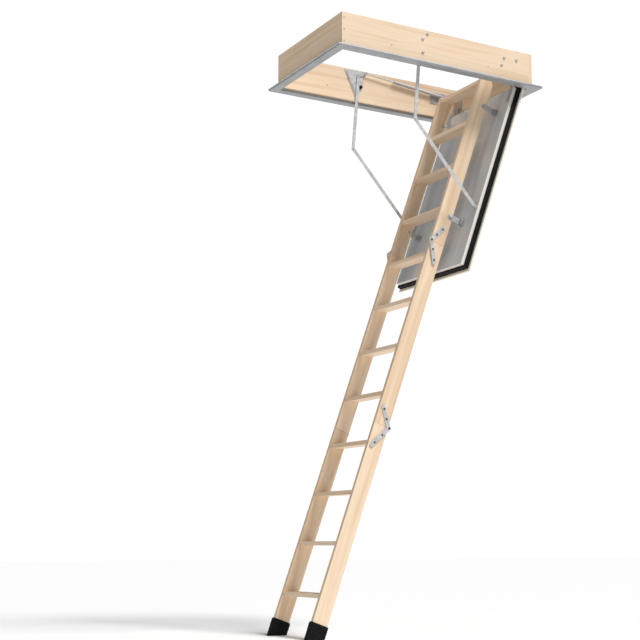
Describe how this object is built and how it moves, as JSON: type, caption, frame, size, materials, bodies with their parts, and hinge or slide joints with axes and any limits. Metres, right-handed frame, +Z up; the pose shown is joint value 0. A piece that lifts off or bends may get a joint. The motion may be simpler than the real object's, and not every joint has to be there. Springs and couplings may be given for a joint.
{
  "type": "attic ladder",
  "caption": "Ceiling hatch in a timber frame with a folding wooden ladder, lever arms, spring struts and a latch, shown open down to the floor.",
  "frame": {"origin": "centre of the ceiling opening, at the ceiling's surface on the trim's upper face", "axes": "+Z up, +X along the frame towards the hatch hinges, +Y to the left of someone who climbs"},
  "size_m": [1.3386, 0.756, 3.049],
  "materials": {
    "spruce": "satin",
    "galvanised_steel": "satin",
    "dark_steel": "satin",
    "grey_trim": "satin",
    "cream_panel": "satin",
    "white_core": "matte",
    "grey_liner": "gloss",
    "black_rubber": "matte"
  },
  "bodies": {
    "frame": {"board_near": "spruce", "board_far": "spruce", "board_hinge_end": "spruce", "board_latch_end": "spruce", "trim_near": "grey_trim", "trim_far": "grey_trim", "trim_hinge_end": "grey_trim", "trim_latch_end": "grey_trim", "frame_screws": "galvanised_steel", "mechanism_bolts": "dark_steel", "arm_plate_left": "galvanised_steel", "arm_plate_right": "galvanised_steel", "spring_brackets": "galvanised_steel", "arm_buffers": "black_rubber", "hinge_brackets": "galvanised_steel", "hinge_pins": "dark_steel", "strike_plate": "galvanised_steel"},
    "hatch": {"hatch_panel": "cream_panel", "hatch_core": "white_core", "hatch_liner": "grey_liner", "hatch_seal": "black_rubber", "hinge_straps": "galvanised_steel", "standoffs": "galvanised_steel", "standoff_feet": "dark_steel", "standoff_bolts": "dark_steel", "arm_anchors": "galvanised_steel", "latch_case": "dark_steel", "upper_stile_left": "spruce", "upper_stile_right": "spruce", "tread_1": "spruce", "tread_2": "spruce", "tread_3": "spruce", "tread_4": "spruce", "fold_leaves_1_upper": "galvanised_steel"},
    "middle_section": {"middle_stile_left": "spruce", "middle_stile_right": "spruce", "tread_5": "spruce", "tread_6": "spruce", "tread_7": "spruce", "tread_8": "spruce", "fold_leaves_1_lower": "galvanised_steel", "fold_leaves_2_upper": "galvanised_steel"},
    "bottom_section": {"bottom_stile_left": "spruce", "bottom_stile_right": "spruce", "tread_9": "spruce", "tread_10": "spruce", "tread_11": "spruce", "tread_12": "spruce", "fold_leaves_2_lower": "galvanised_steel", "foot_left": "black_rubber", "foot_right": "black_rubber"},
    "latch_spindle": {"latch_spindle": "galvanised_steel"},
    "upper_arm_left": {"upper_arm_left": "galvanised_steel"},
    "lower_arm_left": {"lower_arm_left": "galvanised_steel"},
    "spring_tube_left": {"spring_tube_left": "dark_steel"},
    "spring_rod_left": {"spring_rod_left": "galvanised_steel"},
    "upper_arm_right": {"upper_arm_right": "galvanised_steel"},
    "lower_arm_right": {"lower_arm_right": "galvanised_steel"},
    "spring_tube_right": {"spring_tube_right": "dark_steel"},
    "spring_rod_right": {"spring_rod_right": "galvanised_steel"}
  },
  "joints": [
    {"name": "hatch_swing", "type": "hinge", "parent": "frame", "child": "hatch", "pos_m": [0.536, 0, 0.002], "axis": [0, 1, 0], "range_deg": [0, 59]},
    {"name": "middle_fold", "type": "hinge", "parent": "hatch", "child": "middle_section", "pos_m": [0.01774, 0, -0.87514], "axis": [0, 1, 0], "range_deg": [0, 120]},
    {"name": "bottom_fold", "type": "hinge", "parent": "middle_section", "child": "bottom_section", "pos_m": [-0.24945, 0, -1.86069], "axis": [0, -1, 0], "range_deg": [0, 150]},
    {"name": "latch_turn", "type": "hinge", "parent": "hatch", "child": "latch_spindle", "pos_m": [0.19533, 0, -0.98075], "axis": [-0.9397, 0, 0.342], "range_deg": [0, 90]},
    {"name": "upper_arm_swing_left", "type": "hinge", "parent": "frame", "child": "upper_arm_left", "pos_m": [-0.105, 0.3075, 0.15], "axis": [0, 1, 0], "range_deg": [0, 122]},
    {"name": "lower_arm_swing_left", "type": "hinge", "parent": "hatch", "child": "lower_arm_left", "pos_m": [0.21319, 0.3025, -0.68609], "axis": [0, 1, 0], "range_deg": [-45, 0]},
    {"name": "spring_tube_swing_left", "type": "hinge", "parent": "frame", "child": "spring_tube_left", "pos_m": [0.46, 0.3007, 0.114], "axis": [0, 1, 0], "range_deg": [-7, 0]},
    {"name": "spring_rod_slide_left", "type": "slide", "parent": "spring_tube_left", "child": "spring_rod_left", "axis": [-0.9952, 0, 0.0976], "range_m": [0, 0.054]},
    {"name": "upper_arm_swing_right", "type": "hinge", "parent": "frame", "child": "upper_arm_right", "pos_m": [-0.105, -0.3075, 0.15], "axis": [0, 1, 0], "range_deg": [0, 122]},
    {"name": "lower_arm_swing_right", "type": "hinge", "parent": "hatch", "child": "lower_arm_right", "pos_m": [0.21319, -0.3025, -0.68609], "axis": [0, 1, 0], "range_deg": [-45, 0]},
    {"name": "spring_tube_swing_right", "type": "hinge", "parent": "frame", "child": "spring_tube_right", "pos_m": [0.46, -0.3007, 0.114], "axis": [0, 1, 0], "range_deg": [-7, 0]},
    {"name": "spring_rod_slide_right", "type": "slide", "parent": "spring_tube_right", "child": "spring_rod_right", "axis": [-0.9952, 0, 0.0976], "range_m": [0, 0.054]}
  ],
  "couplings": [
    {"joint": "upper_arm_swing_left", "follows": "hatch_swing", "ratio": 2.0551},
    {"joint": "lower_arm_swing_left", "follows": "hatch_swing", "ratio": -0.74024},
    {"joint": "spring_tube_swing_left", "follows": "hatch_swing", "ratio": -0.11224},
    {"joint": "spring_rod_slide_left", "follows": "hatch_swing", "m_per_rad": 0.051585},
    {"joint": "upper_arm_swing_right", "follows": "hatch_swing", "ratio": 2.0551},
    {"joint": "lower_arm_swing_right", "follows": "hatch_swing", "ratio": -0.74024},
    {"joint": "spring_tube_swing_right", "follows": "hatch_swing", "ratio": -0.11224},
    {"joint": "spring_rod_slide_right", "follows": "hatch_swing", "m_per_rad": 0.051585}
  ]
}
